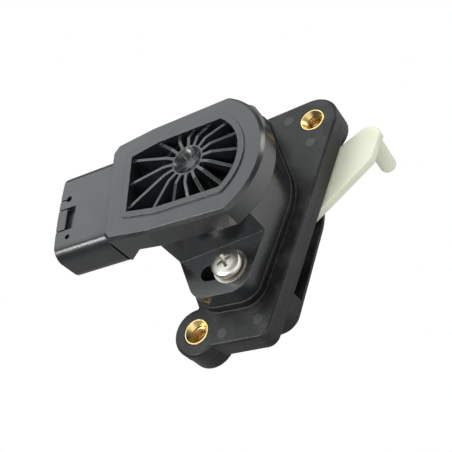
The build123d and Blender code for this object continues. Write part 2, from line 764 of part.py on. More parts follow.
def lever():
    """Return the moulded lever: drum, arm and drive pin."""
    body = rod(DRUM_R, DRUM_BOTTOM, DRUM_TOP) + rod(LEVER_HUB_R, DRUM_BOTTOM, LEVER_HUB_TOP)
    body += slab(arm_outline(), ARM_BOTTOM, ARM_TOP)
    pin = rod(DRIVE_PIN_R, DRIVE_PIN_END, ARM_BOTTOM, DRIVE_PIN)
    body += fillet(pin.edges().sort_by(Axis.Z)[0], DRIVE_PIN_ROUND)
    pocket_floor = DRUM_TOP - POCKET_IN_LEVER
    body -= ring(POCKET_OUTER, POCKET_INNER, pocket_floor, DRUM_TOP + OVERCUT)
    body -= flat_bore(DRUM_BOTTOM - OVERCUT, LEVER_HUB_TOP + OVERCUT)
    return body - spring_leg_hole(pocket_floor - SPRING_LEG, pocket_floor + OVERCUT)


def return_spring():
    """Return the wound wire spring with one end in the lever and one in the housing."""
    low = DRUM_TOP - POCKET_IN_LEVER + SPRING_CLEAR + SPRING_WIRE
    high = low + SPRING_TURNS * SPRING_PITCH
    line = Pos(0, 0, low) * Helix(SPRING_PITCH, SPRING_TURNS * SPRING_PITCH, SPRING_R)
    section = Plane(line @ 0, z_dir=line % 0) * Circle(SPRING_WIRE)
    coil = sweep(section, line)
    coil += rod(SPRING_WIRE, low - SPRING_WIRE - SPRING_LEG, low, (SPRING_R, 0))
    return coil + rod(SPRING_WIRE, high, high + SPRING_WIRE + SPRING_LEG, (SPRING_R, 0))


# Clamp screws

def washer_levels():
    """Return the levels of the flat washer, the spring washer and the screw's head."""
    flat_top = FOOT_TOP + FLAT_WASHER_THICK
    return FOOT_TOP, flat_top, flat_top + SPRING_WASHER_THICK


def clamp_screw(side):
    """Return a pan-head screw with a cross recess."""
    at = screw_side(side)
    seat = washer_levels()[2]
    edge_top = seat + SCREW_HEAD_EDGE
    crown = edge_top + SCREW_HEAD_CROWN
    outline = Polyline((0, crown), (0, seat), (SCREW_HEAD_R, seat), (SCREW_HEAD_R, edge_top))
    bend = (SCREW_HEAD_R * SCREW_CROWN_BEND[0], edge_top + SCREW_HEAD_CROWN * SCREW_CROWN_BEND[1])
    face = make_face(outline + ThreePointArc((SCREW_HEAD_R, edge_top), bend, (0, crown)))
    head = revolve(Plane.XZ * face, Axis.Z)
    half = SCREW_RECESS_WIDTH / 2
    reach = SCREW_RECESS_R
    slot = block(-reach, reach, -half, half, crown - SCREW_RECESS_DEPTH, crown + OVERCUT)
    for turn in (SCREW_RECESS_TURN, SCREW_RECESS_TURN + 90):
        head -= Rot(0, 0, turn) * slot
    return Pos(at[0], at[1], 0) * head + rod(SCREW_R, SCREW_TIP, seat + SINK, at)


def flat_washer(side):
    """Return the flat washer on a lug."""
    low, high, _ = washer_levels()
    return ring(FLAT_WASHER_R, SCREW_R + WASHER_CLEAR, low, high, screw_side(side))


def spring_washer(side):
    """Return the split washer under a screw's head."""
    _, low, high = washer_levels()
    at = screw_side(side)
    body = ring(SPRING_WASHER_R, SCREW_R + WASHER_CLEAR, low, high, at)
    half = SPRING_WASHER_SPLIT / 2
    split = block(at[0], at[0] + THROUGH, at[1] - half, at[1] + half, low - OVERCUT, high + OVERCUT)
    return body - split


def build():
    """Make every piece and save it."""
    os.makedirs("parts", exist_ok=True)
    pieces = {
        "front_housing": front_housing(),
        "rear_cover": rear_cover(),
        "insert_lower": mounting_insert(LOW_EAR, LOW_BOSS_DEPTH),
        "insert_upper": mounting_insert(TOP_EAR, TOP_BOSS_DEPTH),
        "bush": bush(),
        "pot_body": pot_body(),
        "pot_cover": pot_cover(),
        "face_seal": face_seal(),
        "shaft_seal": shaft_seal(),
        "track_board": track_board(),
        "lever": lever(),
        "shaft": shaft(),
        "rotor": rotor(),
        "wiper_contacts": wiper_contacts(),
        "thrust_washer": thrust_washer(),
        "retaining_clip": retaining_clip(),
        "return_spring": return_spring(),
    }
    for number, y in enumerate(pin_rows(), start=1):
        pieces[f"terminal_{number}"] = terminal(y)
    for side, word in ((-1, "lower"), (1, "upper")):
        pieces[f"clamp_screw_{word}"] = clamp_screw(side)
        pieces[f"flat_washer_{word}"] = flat_washer(side)
        pieces[f"spring_washer_{word}"] = spring_washer(side)
        pieces[f"screw_insert_{word}"] = screw_insert(side)
    for name, shape in pieces.items():
        write(name, shape)


build()
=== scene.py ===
"""Looks of a rotary potentiometer with a sprung drive lever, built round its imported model."""

from __future__ import annotations

import logging
import math
from collections.abc import Iterator
from contextlib import contextmanager
from dataclasses import dataclass, replace
from enum import Enum

import bmesh
import bpy
from mathutils import Matrix, Vector


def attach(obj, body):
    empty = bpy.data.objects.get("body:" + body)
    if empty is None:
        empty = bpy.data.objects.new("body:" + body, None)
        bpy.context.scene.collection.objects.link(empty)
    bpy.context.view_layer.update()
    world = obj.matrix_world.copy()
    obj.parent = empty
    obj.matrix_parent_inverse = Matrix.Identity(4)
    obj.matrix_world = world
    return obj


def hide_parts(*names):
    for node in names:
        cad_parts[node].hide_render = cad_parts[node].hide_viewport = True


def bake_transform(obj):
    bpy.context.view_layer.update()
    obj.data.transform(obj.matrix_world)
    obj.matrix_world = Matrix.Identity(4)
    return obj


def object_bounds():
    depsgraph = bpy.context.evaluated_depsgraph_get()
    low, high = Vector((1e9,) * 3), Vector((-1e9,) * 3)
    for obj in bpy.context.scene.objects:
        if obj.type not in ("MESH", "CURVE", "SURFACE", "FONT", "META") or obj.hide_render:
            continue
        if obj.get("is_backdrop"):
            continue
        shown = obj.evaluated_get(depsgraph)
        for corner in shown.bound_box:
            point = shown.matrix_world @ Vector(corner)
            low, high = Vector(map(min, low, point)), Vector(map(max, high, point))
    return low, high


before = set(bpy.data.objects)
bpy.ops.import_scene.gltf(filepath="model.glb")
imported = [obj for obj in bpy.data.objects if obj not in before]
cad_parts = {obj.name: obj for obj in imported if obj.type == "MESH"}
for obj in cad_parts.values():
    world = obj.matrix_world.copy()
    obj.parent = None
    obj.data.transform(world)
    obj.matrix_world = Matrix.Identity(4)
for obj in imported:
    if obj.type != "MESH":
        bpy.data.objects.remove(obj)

LOG = logging.getLogger("potentiometer")
MM = 0.001
SHARP_ANGLE = math.radians(30)
TURNING_STEPS = 64
HEAD_TURN = 2.5
WHITE = (1.0, 1.0, 1.0, 1.0)
WHOLE = (0.0, 1.0)

Colour = tuple[float, float, float]
Point = tuple[float, float, float]
Span = tuple[float, float]


class Body(Enum):
    """The two rigid bodies that pieces ride on."""

    HOUSING = "housing"
    DRIVE = "drive"


class Slot(Enum):
    """Names of the record's material slots for the finishes of added or replaced pieces."""

    BLACK_PLASTIC = "black_plastic"
    GREY_PLASTIC = "grey_plastic"
    BRASS = "brass"
    STEEL = "steel"
    PLATED_STEEL = "plated_steel"


# Node graphs


class Graph:
    """A thin wrapper that adds and links nodes in one tree."""

    def __init__(self, tree: bpy.types.NodeTree) -> None:
        """Start with an empty tree.

        Args:
            tree: the node tree to fill.
        """
        self.tree = tree
        tree.nodes.clear()

    def add(self, kind: str, inputs: dict | None = None, **settings: object) -> bpy.types.Node:
        """Add one node.

        Args:
            kind: the node's type name.
            inputs: socket name or number to a value or to another node's output socket.
            settings: properties of the node itself.

        Returns:
            The new node.
        """
        node = self.tree.nodes.new(kind)
        for name, value in settings.items():
            setattr(node, name, value)
        for key, value in (inputs or {}).items():
            if isinstance(value, bpy.types.NodeSocket):
                self.tree.links.new(value, node.inputs[key])
            else:
                node.inputs[key].default_value = value
        return node

    def math(
        self, operation: str, first: object, second: object = 0.0, clamp: bool = False
    ) -> bpy.types.NodeSocket:
        """Add a Math node.

        Args:
            operation: the node's operation.
            first: a number or a socket.
            second: a number or a socket.
            clamp: whether the result is kept between 0 and 1.

        Returns:
            The node's output socket.
        """
        node = self.add("ShaderNodeMath", {0: first, 1: second}, operation=operation, use_clamp=clamp)
        return node.outputs[0]

    def mix(self, factor: object, first: object, second: object) -> bpy.types.NodeSocket:
        """Mix two colours.

        Args:
            factor: a number or a socket, 0 for the first colour.
            first: a colour with alpha or a socket.
            second: a colour with alpha or a socket.

        Returns:
            The mixed colour's socket.
        """
        node = self.add("ShaderNodeMix", {"Factor": factor}, data_type="RGBA")
        for socket, value in ((node.inputs[6], first), (node.inputs[7], second)):
            if isinstance(value, bpy.types.NodeSocket):
                self.tree.links.new(value, socket)
            else:
                socket.default_value = value
        return node.outputs[2]

    def remap(self, value: object, span: Span, low: object = 0.0, high: object = 1.0) -> bpy.types.NodeSocket:
        """Map a span of values onto another.

        Args:
            value: a number or a socket.
            span: the start and the end of the span read.
            low: what the start becomes, a number or a socket.
            high: what the end becomes, a number or a socket.

        Returns:
            The mapped value's socket.
        """
        settings = {"Value": value, "From Min": span[0], "From Max": span[1], "To Min": low, "To Max": high}
        return self.add("ShaderNodeMapRange", settings).outputs["Result"]

    def place(self) -> bpy.types.NodeSocket:
        """Return the socket of the object's own coordinates."""
        return self.add("ShaderNodeTexCoord").outputs["Object"]

    def noise(self, place: bpy.types.NodeSocket, scale: object, detail: float) -> bpy.types.NodeSocket:
        """Add a noise texture.

        Args:
            place: the coordinates' socket.
            scale: how fine it is, a number or a socket.
            detail: how many finer layers it has.

        Returns:
            The noise's socket.
        """
        settings = {"Vector": place, "Scale": scale, "Detail": detail}
        return self.add("ShaderNodeTexNoise", settings).outputs["Fac"]

    def part(self, vector: bpy.types.NodeSocket, letter: str) -> bpy.types.NodeSocket:
        """Return the socket of one part of a vector, by its letter."""
        return self.add("ShaderNodeSeparateXYZ", {0: vector}).outputs[letter]

    def radius(self, offset: bpy.types.NodeSocket) -> bpy.types.NodeSocket:
        """Return the socket of an offset's length seen from above."""
        flat = self.add("ShaderNodeVectorMath", {0: offset, 1: (1.0, 1.0, 0.0)}, operation="MULTIPLY")
        return self.add("ShaderNodeVectorMath", {0: flat.outputs[0]}, operation="LENGTH").outputs["Value"]


def opaque(colour: Colour) -> tuple[float, float, float, float]:
    """Return a colour with full alpha."""
    return (*colour, 1.0)


class Effects:
    """Shader node groups that several finishes share, each built once."""

    MOTTLE_SPAN: Span = (0.3, 0.7)
    BREAK_SPAN: Span = (0.35, 0.65)
    BREAK_LEAST = 0.2
    PATCH_SPAN: Span = (0.45, 0.75)
    PATCH_SHARE = 0.6
    SPECK_SPAN: Span = (0.62, 0.72)
    SPECK_SHARE = 0.4
    FACING_SPAN: Span = (-0.2, 1.0)
    FACING_LEAST = 0.15

    def __init__(self) -> None:
        """Build every group."""
        self.grain = self._moulded_grain()
        self.wear_and_highlight = self._wear_and_highlight_edges()
        self.dust = self._settled_dust()
        self.turning = self._turned_rings()

    @staticmethod
    def _group(name: str, inputs: dict[str, float | Point], outputs: dict[str, str]) -> tuple:
        """Make an empty group with named sockets.

        Args:
            name: the group's name.
            inputs: socket name to its first value.
            outputs: socket name to its socket type.

        Returns:
            The group, its graph, its input node and its output node.
        """
        tree = bpy.data.node_groups.new(name, "ShaderNodeTree")
        graph = Graph(tree)
        for key, value in inputs.items():
            kind = "NodeSocketFloat" if isinstance(value, float) else "NodeSocketVector"
            tree.interface.new_socket(key, in_out="INPUT", socket_type=kind).default_value = value
        for key, kind in outputs.items():
            tree.interface.new_socket(key, in_out="OUTPUT", socket_type=kind)
        return tree, graph, graph.add("NodeGroupInput"), graph.add("NodeGroupOutput")

    def _moulded_grain(self) -> bpy.types.NodeTree:
        """Return the fine skin of moulded plastic, with its slow flow mottle."""
        tree, graph, start, end = self._group(
            "moulded_grain",
            {"Scale": 2600.0, "Flow": 70.0},
            {"Height": "NodeSocketFloat", "Mottle": "NodeSocketFloat"},
        )
        place = graph.place()
        fine = graph.noise(place, start.outputs["Scale"], 3.0)
        slow = graph.noise(place, start.outputs["Flow"], 4.0)
        tree.links.new(fine, end.inputs["Height"])
        tree.links.new(graph.remap(slow, self.MOTTLE_SPAN), end.inputs["Mottle"])
        return tree

    def _wear_and_highlight_edges(self) -> bpy.types.NodeTree:
        """Return a mask that is high on the piece's edges, broken up by noise; the finishes paint wear and a
        highlight along the edges with it.
        """
        tree, graph, start, end = self._group(
            "wear_and_highlight_edges",
            {"Radius": 0.4 * MM, "Break": 600.0, "Sharpness": 6.0},
            {"Mask": "NodeSocketFloat"},
        )
        place = graph.place()
        rounded = graph.add("ShaderNodeBevel", {"Radius": start.outputs["Radius"]}, samples=4)
        flat = graph.add("ShaderNodeNewGeometry").outputs["Normal"]
        same = graph.add("ShaderNodeVectorMath", {0: rounded.outputs[0], 1: flat}, operation="DOT_PRODUCT")
        turned = graph.math("SUBTRACT", 1.0, same.outputs["Value"])
        strong = graph.math("MULTIPLY", turned, start.outputs["Sharpness"], clamp=True)
        noise = graph.noise(place, start.outputs["Break"], 3.0)
        broken = graph.remap(noise, self.BREAK_SPAN, self.BREAK_LEAST)
        tree.links.new(graph.math("MULTIPLY", strong, broken, clamp=True), end.inputs["Mask"])
        return tree

    def _settled_dust(self) -> bpy.types.NodeTree:
        """Return a mask of light dust and handling marks, stronger on faces that look up."""
        tree, graph, start, end = self._group(
            "settled_dust",
            {"Patch": 130.0, "Speck": 1500.0},
            {"Mask": "NodeSocketFloat"},
        )
        place = graph.place()
        patch = graph.noise(place, start.outputs["Patch"], 5.0)
        speck = graph.noise(place, start.outputs["Speck"], 2.0)
        up = graph.part(graph.add("ShaderNodeNewGeometry").outputs["Normal"], "Z")
        soft = graph.math("MULTIPLY", graph.remap(patch, self.PATCH_SPAN), self.PATCH_SHARE)
        fine = graph.math("MULTIPLY", graph.remap(speck, self.SPECK_SPAN), self.SPECK_SHARE)
        both = graph.math("ADD", soft, fine)
        facing = graph.remap(up, self.FACING_SPAN, self.FACING_LEAST)
        tree.links.new(graph.math("MULTIPLY", both, facing, clamp=True), end.inputs["Mask"])
        return tree

    def _turned_rings(self) -> bpy.types.NodeTree:
        """Return the fine rings that turning leaves round an upright axis."""
        tree, graph, start, end = self._group(
            "turned_rings",
            {"Centre": (0.0, 0.0, 0.0), "Fineness": 9000.0},
            {"Height": "NodeSocketFloat"},
        )
        place = graph.place()
        ends = {0: place, 1: start.outputs["Centre"]}
        offset = graph.add("ShaderNodeVectorMath", ends, operation="SUBTRACT").outputs[0]
        along = graph.math("ADD", graph.radius(offset), graph.part(place, "Z"))
        settings = {"W": along, "Scale": start.outputs["Fineness"], "Detail": 2.0}
        rings = graph.add("ShaderNodeTexNoise", settings, noise_dimensions="1D")
        tree.links.new(rings.outputs["Fac"], end.inputs["Height"])
        return tree


class Finish:
    """What every finish can do: make its material once and hand it out."""

    name: str

    def material(self, effects: Effects) -> bpy.types.Material:
        """Return the finish's material, made on first use.

        Args:
            effects: the shared shader node groups.

        Returns:
            The material.
        """
        found = bpy.data.materials.get(self.name)
        if found:
            return found
        made = bpy.data.materials.new(self.name)
        made.use_nodes = True
        graph = Graph(made.node_tree)
        shader = graph.add("ShaderNodeBsdfPrincipled")
        output = graph.add("ShaderNodeOutputMaterial")
        made.node_tree.links.new(shader.outputs[0], output.inputs["Surface"])
        self.fill(graph, shader, effects)
        return made

    def fill(self, graph: Graph, shader: bpy.types.Node, effects: Effects) -> None:
        """Wire the finish's own nodes to the shader.

        Args:
            graph: the material's graph.
            shader: its main shader.
            effects: the shared shader node groups.
        """
        raise NotImplementedError

    @staticmethod
    def effect(graph: Graph, group: bpy.types.NodeTree, **values: object) -> bpy.types.Node:
        """Place a shared group in the graph.

        Args:
            graph: the material's graph.
            group: the shared group.
            values: input name to its value.

        Returns:
            The group's node.
        """
        node = graph.add("ShaderNodeGroup", node_tree=group)
        for key, value in values.items():
            node.inputs[key].default_value = value
        return node

    @staticmethod
    def bump(
        graph: Graph, shader: bpy.types.Node, height: bpy.types.NodeSocket, depth: float, edge: float
    ) -> None:
        """Feed a height and rounded edges to the shader's normal.

        Args:
            graph: the material's graph.
            shader: its main shader.
            height: the height's socket.
            depth: the bump's depth in metres.
            edge: the radius in metres that sharp edges seem rounded by.
        """
        rounded = graph.add("ShaderNodeBevel", {"Radius": edge}, samples=8)
        settings = {"Height": height, "Distance": depth, "Strength": 1.0, "Normal": rounded.outputs[0]}
        node = graph.add("ShaderNodeBump", settings)
        graph.tree.links.new(node.outputs[0], shader.inputs["Normal"])


@dataclass(frozen=True)
class MouldedPlastic(Finish):
    """Moulded plastic with a fine skin, slow mottle, a little dust, and pale edges that are partly wear and
    partly a painted highlight.
    """

    name: str
    colour: Colour
    edge_wear_and_highlight_colour: Colour
    roughness: float
    specular: float = 0.5
    edge: float = 0.25 * MM
    wear_and_highlight: float = 0.6
    dust: float = 0.15
    dust_colour: Colour = (0.3, 0.3, 0.29)
    grain_scale: float = 2600.0
    grain_depth: float = 0.01 * MM
    mottle_gain: float = 1.18
    mottle_lift: float = 0.002
    smoother: float = 0.04
    rougher: float = 0.05

    def fill(self, graph: Graph, shader: bpy.types.Node, effects: Effects) -> None:
        """Wire the plastic's skin, its pale edges of wear and painted highlight, and its dust."""
        skin = self.effect(graph, effects.grain, Scale=self.grain_scale)
        wear_and_highlight = self.effect(graph, effects.wear_and_highlight)
        dust = self.effect(graph, effects.dust)
        mottle = skin.outputs["Mottle"]
        lighter = tuple(min(1.0, c * self.mottle_gain + self.mottle_lift) for c in self.colour)
        base = graph.mix(mottle, opaque(self.colour), opaque(lighter))
        # Pale edges: partly wear, partly a painted highlight along the edges.
        worn_and_highlit = graph.math("MULTIPLY", wear_and_highlight.outputs["Mask"], self.wear_and_highlight)
        edged = graph.mix(worn_and_highlit, base, opaque(self.edge_wear_and_highlight_colour))
        dusted = graph.math("MULTIPLY", dust.outputs["Mask"], self.dust)
        graph.tree.links.new(graph.mix(dusted, edged, opaque(self.dust_colour)), shader.inputs["Base Color"])
        rough = graph.remap(mottle, WHOLE, self.roughness - self.smoother, self.roughness + self.rougher)
        graph.tree.links.new(rough, shader.inputs["Roughness"])
        shader.inputs["Specular IOR Level"].default_value = self.specular
        self.bump(graph, shader, skin.outputs["Height"], self.grain_depth, self.edge)


@dataclass(frozen=True)
class NaturalNylon(Finish):
    """Undyed, slightly translucent plastic."""

    name: str
    colour: Colour
    shade: Colour
    roughness: float
    glow: float
    glow_depth: float = 3.0 * MM
    glow_reach: Colour = (1.0, 0.95, 0.6)
    edge: float = 0.5 * MM
    grain_scale: float = 1900.0
    flow_scale: float = 90.0
    grain_depth: float = 0.008 * MM

    def fill(self, graph: Graph, shader: bpy.types.Node, effects: Effects) -> None:
        """Wire the clouded colour and the light that spreads inside."""
        skin = self.effect(graph, effects.grain, Scale=self.grain_scale, Flow=self.flow_scale)
        clouded = graph.mix(skin.outputs["Mottle"], opaque(self.colour), opaque(self.shade))
        graph.tree.links.new(clouded, shader.inputs["Base Color"])
        shader.inputs["Roughness"].default_value = self.roughness
        shader.inputs["Subsurface Weight"].default_value = self.glow
        shader.inputs["Subsurface Radius"].default_value = self.glow_reach
        shader.inputs["Subsurface Scale"].default_value = self.glow_depth
        self.bump(graph, shader, skin.outputs["Height"], self.grain_depth, self.edge)


@dataclass(frozen=True)
class TurnedMetal(Finish):
    """Turned or plated metal with fine rings, and with painted shade that darkens the colour towards the
    bottom of a bore where a span for it is set.
    """

    name: str
    colour: Colour
    shade: Colour
    roughness: float
    centre: Point = (0.0, 0.0, 0.0)
    ring_depth: float = 0.012 * MM
    fineness: float = 9000.0
    edge: float = 0.1 * MM
    painted_shade_span: Span | None = None
    painted_shade_colour: Colour = (0.72, 0.47, 0.2)
    grain_scale: float = 1400.0
    flow_scale: float = 260.0
    wear_and_highlight_radius: float = 0.2 * MM
    wear_and_highlight_gain: float = 1.15
    smoother: float = 0.05
    rougher: float = 0.1

    def fill(self, graph: Graph, shader: bpy.types.Node, effects: Effects) -> None:
        """Wire the turned rings, the tarnish, the painted shade in the bore, and the bright edges, which are
        partly wear and partly a painted highlight.
        """
        rings = self.effect(graph, effects.turning, Centre=self.centre, Fineness=self.fineness)
        skin = self.effect(graph, effects.grain, Scale=self.grain_scale, Flow=self.flow_scale)
        wear_and_highlight = self.effect(graph, effects.wear_and_highlight, Radius=self.wear_and_highlight_radius)
        mottle = skin.outputs["Mottle"]
        base = graph.mix(mottle, opaque(self.colour), opaque(self.shade))
        # Painted shade: the colour turns a darker brown lower down the bore, between the span's two heights.
        if self.painted_shade_span:
            depth = graph.remap(graph.part(graph.place(), "Z"), self.painted_shade_span)
            base = graph.mix(depth, base, opaque(self.painted_shade_colour))
        # Bright edges: partly wear, partly a painted highlight along the edges.
        bright = tuple(min(1.0, c * self.wear_and_highlight_gain) for c in self.colour)
        worn_and_highlit = graph.mix(wear_and_highlight.outputs["Mask"], base, opaque(bright))
        graph.tree.links.new(worn_and_highlit, shader.inputs["Base Color"])
        rough = graph.remap(mottle, WHOLE, self.roughness - self.smoother, self.roughness + self.rougher)
        graph.tree.links.new(rough, shader.inputs["Roughness"])
        shader.inputs["Metallic"].default_value = 1.0
        self.bump(graph, shader, rings.outputs["Height"], self.ring_depth, self.edge)


@dataclass(frozen=True)
class TrackBoard(Finish):
    """Board with a dark resistive ring and a bright collector ring, each by its radius and half its width."""

    name: str
    colour: Colour
    track: Colour
    collector: Colour
    track_ring: Span = (9.6 * MM, 0.9 * MM)
    collector_ring: Span = (7.4 * MM, 0.8 * MM)
    roughness: float = 0.5
    grain_scale: float = 3000.0
    grain_depth: float = 0.006 * MM
    edge: float = 0.1 * MM

    def fill(self, graph: Graph, shader: bpy.types.Node, effects: Effects) -> None:
        """Wire the printed rings by their distance from the shaft."""
        radius = graph.radius(graph.place())
        base = opaque(self.colour)
        for (middle, half), colour in ((self.track_ring, self.track), (self.collector_ring, self.collector)):
            ring = graph.math("COMPARE", radius, middle)
            ring.node.inputs[2].default_value = half
            base = graph.mix(ring, base, opaque(colour))
        graph.tree.links.new(base, shader.inputs["Base Color"])
        skin = self.effect(graph, effects.grain, Scale=self.grain_scale)
        shader.inputs["Roughness"].default_value = self.roughness
        self.bump(graph, shader, skin.outputs["Height"], self.grain_depth, self.edge)


@dataclass(frozen=True)
class Palette:
    """Every finish on the object."""

    # The second colour of each moulded plastic is its pale edge colour: partly wear, partly a painted
    # highlight.
    housing: MouldedPlastic = MouldedPlastic(
        "housing_plastic", (0.005, 0.0052, 0.0056), (0.075, 0.08, 0.085), 0.4, 0.36, edge=0.7 * MM
    )
    mark: MouldedPlastic = MouldedPlastic("mark_plastic", (0.009, 0.0094, 0.01), (0.02, 0.021, 0.022), 0.34)
    pot: MouldedPlastic = MouldedPlastic(
        "pot_plastic", (0.0085, 0.01, 0.0112), (0.13, 0.14, 0.145), 0.25, 0.66, dust=0.06
    )
    inner: MouldedPlastic = MouldedPlastic("rotor_plastic", (0.03, 0.03, 0.032), (0.06, 0.06, 0.06), 0.5)
    rubber: MouldedPlastic = MouldedPlastic("seal_rubber", (0.02, 0.02, 0.02), (0.03, 0.03, 0.03), 0.7)
    lever: NaturalNylon = NaturalNylon("lever_nylon", (0.74, 0.75, 0.63), (0.68, 0.7, 0.57), 0.4, 0.75)
    # The brass turns a darker brown deeper in the inserts' bores: painted shade.
    brass: TurnedMetal = TurnedMetal(
        "insert_brass", (0.87, 0.69, 0.32), (0.79, 0.58, 0.24), 0.3,
        ring_depth=0.002 * MM, edge=0.03 * MM, painted_shade_span=(-1.2 * MM, -3.2 * MM),
    )
    bronze: TurnedMetal = TurnedMetal("bearing_bronze", (0.55, 0.34, 0.18), (0.4, 0.24, 0.12), 0.45)
    steel: TurnedMetal = TurnedMetal("shaft_steel", (0.6, 0.6, 0.61), (0.45, 0.45, 0.46), 0.25)
    plated: TurnedMetal = TurnedMetal("plated_steel", (0.71, 0.7, 0.63), (0.57, 0.56, 0.5), 0.34)
    blackened: TurnedMetal = TurnedMetal("blackened_steel", (0.16, 0.11, 0.09), (0.09, 0.06, 0.05), 0.3)
    contact: TurnedMetal = TurnedMetal("contact_metal", (0.78, 0.74, 0.62), (0.6, 0.56, 0.45), 0.25)
    board: TrackBoard = TrackBoard("track_board", (0.05, 0.14, 0.08), (0.01, 0.01, 0.012), (0.75, 0.6, 0.35))


# Pieces


def link(obj: bpy.types.Object) -> bpy.types.Object:
    """Put an object into the scene and return it."""
    bpy.context.scene.collection.objects.link(obj)
    return obj


def freeze(obj: bpy.types.Object) -> bpy.types.Object:
    """Turn an object's evaluated shape into its plain mesh.

    Args:
        obj: an object with live modifiers.

    Returns:
        The same object, with no modifier left.
    """
    graph = bpy.context.evaluated_depsgraph_get()
    graph.update()
    mesh = bpy.data.meshes.new_from_object(obj.evaluated_get(graph), depsgraph=graph)
    obj.modifiers.clear()
    old = obj.data
    obj.data = mesh
    mesh.name = obj.name
    if old.users == 0:
        bpy.data.meshes.remove(old)
    return obj


class Workshop:
    """Makes pieces, dresses them and hands them to their body."""

    def __init__(self) -> None:
        """Build the shared effects, the palette and the thread tool."""
        self.effects = Effects()
        self.palette = Palette()
        self.ridges = ThreadRidge()

    @staticmethod
    def on_axis(finish: TurnedMetal, node: str) -> TurnedMetal:
        """Return a turned finish whose rings go round a CAD node's own axis.

        Args:
            finish: the finish.
            node: the node's name.

        Returns:
            The finish under a name of its own.
        """
        return replace(finish, name=f"{finish.name}_{node}", centre=(*Extent.of(node).axis, 0.0))

    def dress(self, obj: bpy.types.Object, finish: Finish) -> None:
        """Give every face of an object one finish.

        Args:
            obj: the object.
            finish: its finish.
        """
        obj.data.materials.clear()
        obj.data.materials.append(finish.material(self.effects))

    def keep(self, node: str, finish: Finish) -> None:
        """Keep a CAD node as it is, under a finish of its own.

        Args:
            node: the node's name.
            finish: its finish.
        """
        self.dress(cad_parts[node], finish)
        LOG.info("%s keeps its own mesh", node)

    def hand_over(self, obj: bpy.types.Object, finish: Finish, body: Body, slot: Slot, *nodes: str) -> None:
        """Dress a finished piece and let it ride on its body.

        Args:
            obj: the piece.
            finish: its finish.
            body: the body that it moves with.
            slot: the record's slot of its finish; not used.
            nodes: the CAD nodes that it stands for.
        """
        self.dress(obj, finish)
        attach(obj, body.value)
        if nodes:
            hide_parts(*nodes)
        LOG.info("%s: %d faces on %s", obj.name, len(obj.data.polygons), body.value)


@dataclass(frozen=True)
class Extent:
    """The box round one CAD node."""

    low: Vector
    high: Vector

    @classmethod
    def of(cls, node: str) -> Extent:
        """Measure a CAD node.

        Args:
            node: the node's name.

        Returns:
            Its box in world coordinates.
        """
        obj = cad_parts[node]
        points = [obj.matrix_world @ vertex.co for vertex in obj.data.vertices]
        low = Vector(min(point[axis] for point in points) for axis in range(3))
        high = Vector(max(point[axis] for point in points) for axis in range(3))
        return cls(low, high)

    @property
    def axis(self) -> Span:
        """Where the upright line through the box's middle stands."""
        return (self.low.x + self.high.x) / 2, (self.low.y + self.high.y) / 2

    @property
    def radius(self) -> float:
        """Half the box's width across Y."""
        return (self.high.y - self.low.y) / 2


def smooth(obj: bpy.types.Object) -> bpy.types.Object:
    """Shade an object smoothly except over its sharp edges, and return it."""
    obj.data.shade_smooth()
    obj.data.set_sharp_from_angle(angle=SHARP_ANGLE)
    return obj


def empty_mesh(name: str) -> bpy.types.Object:
    """Return a linked object whose mesh has nothing in it yet."""
    return link(bpy.data.objects.new(name, bpy.data.meshes.new(name)))


@contextmanager
def shaping(obj: bpy.types.Object) -> Iterator[bmesh.types.BMesh]:
    """Open an object's mesh for shaping and write it back afterwards.

    Args:
        obj: the object.

    Yields:
        The mesh in a form that can be edited.
    """
    form = bmesh.new()
    form.from_mesh(obj.data)
    yield form
    form.to_mesh(obj.data)
    form.free()


def turned(name: str, rows: list[Span], axis: Span) -> bpy.types.Object:
    """Return the closed solid that a profile sweeps round an upright axis.

    Args:
        name: the object's name.
        rows: radius and height of each corner of the profile, in order. A profile whose first and last
            radius is zero is capped there, any other one closes on itself.
        axis: where the axis stands.

    Returns:
        The solid, with its place in the mesh.
    """
    obj = empty_mesh(name)
    capped = rows[0][0] == 0.0
    with shaping(obj) as form:
        loops = []
        for radius, height in rows:
            count = TURNING_STEPS if radius > 0.0 else 1
            angles = [math.tau * index / TURNING_STEPS for index in range(count)]
            ring = [(axis[0] + radius * math.cos(a), axis[1] + radius * math.sin(a), height) for a in angles]
            loops.append([form.verts.new(point) for point in ring])
        for one, two in zip(loops, loops[1:] if capped else loops[1:] + loops[:1]):
            for index in range(TURNING_STEPS):
                after = (index + 1) % TURNING_STEPS
                near = [one[index % len(one)], one[after % len(one)]]
                far = [two[after % len(two)], two[index % len(two)]]
                form.faces.new(list(dict.fromkeys(near + far)))
        bmesh.ops.recalc_face_normals(form, faces=form.faces)
    return smooth(obj)


def joined(target: bpy.types.Object, *others: bpy.types.Object) -> bpy.types.Object:
    """Add other objects' meshes to one object and remove those objects.

    Args:
        target: the object that stays.
        others: objects whose meshes are added to it.

    Returns:
        The object that stays.
    """
    with shaping(target) as form:
        for other in others:
            form.from_mesh(other.data)
            bpy.data.objects.remove(other)
    return target


def cut(target: bpy.types.Object, tool: bpy.types.Object) -> bpy.types.Object:
    """Cut one closed solid out of another and remove the tool.

    Args:
        target: the solid that is cut.
        tool: the solid that is taken away.

    Returns:
        The cut solid.
    """
    knife = target.modifiers.new("cut", "BOOLEAN")
    knife.operation = "DIFFERENCE"
    knife.solver = "EXACT"
    knife.object = tool
    freeze(target)
    bpy.data.objects.remove(tool)
    target.data.set_sharp_from_angle(angle=SHARP_ANGLE)
    return target


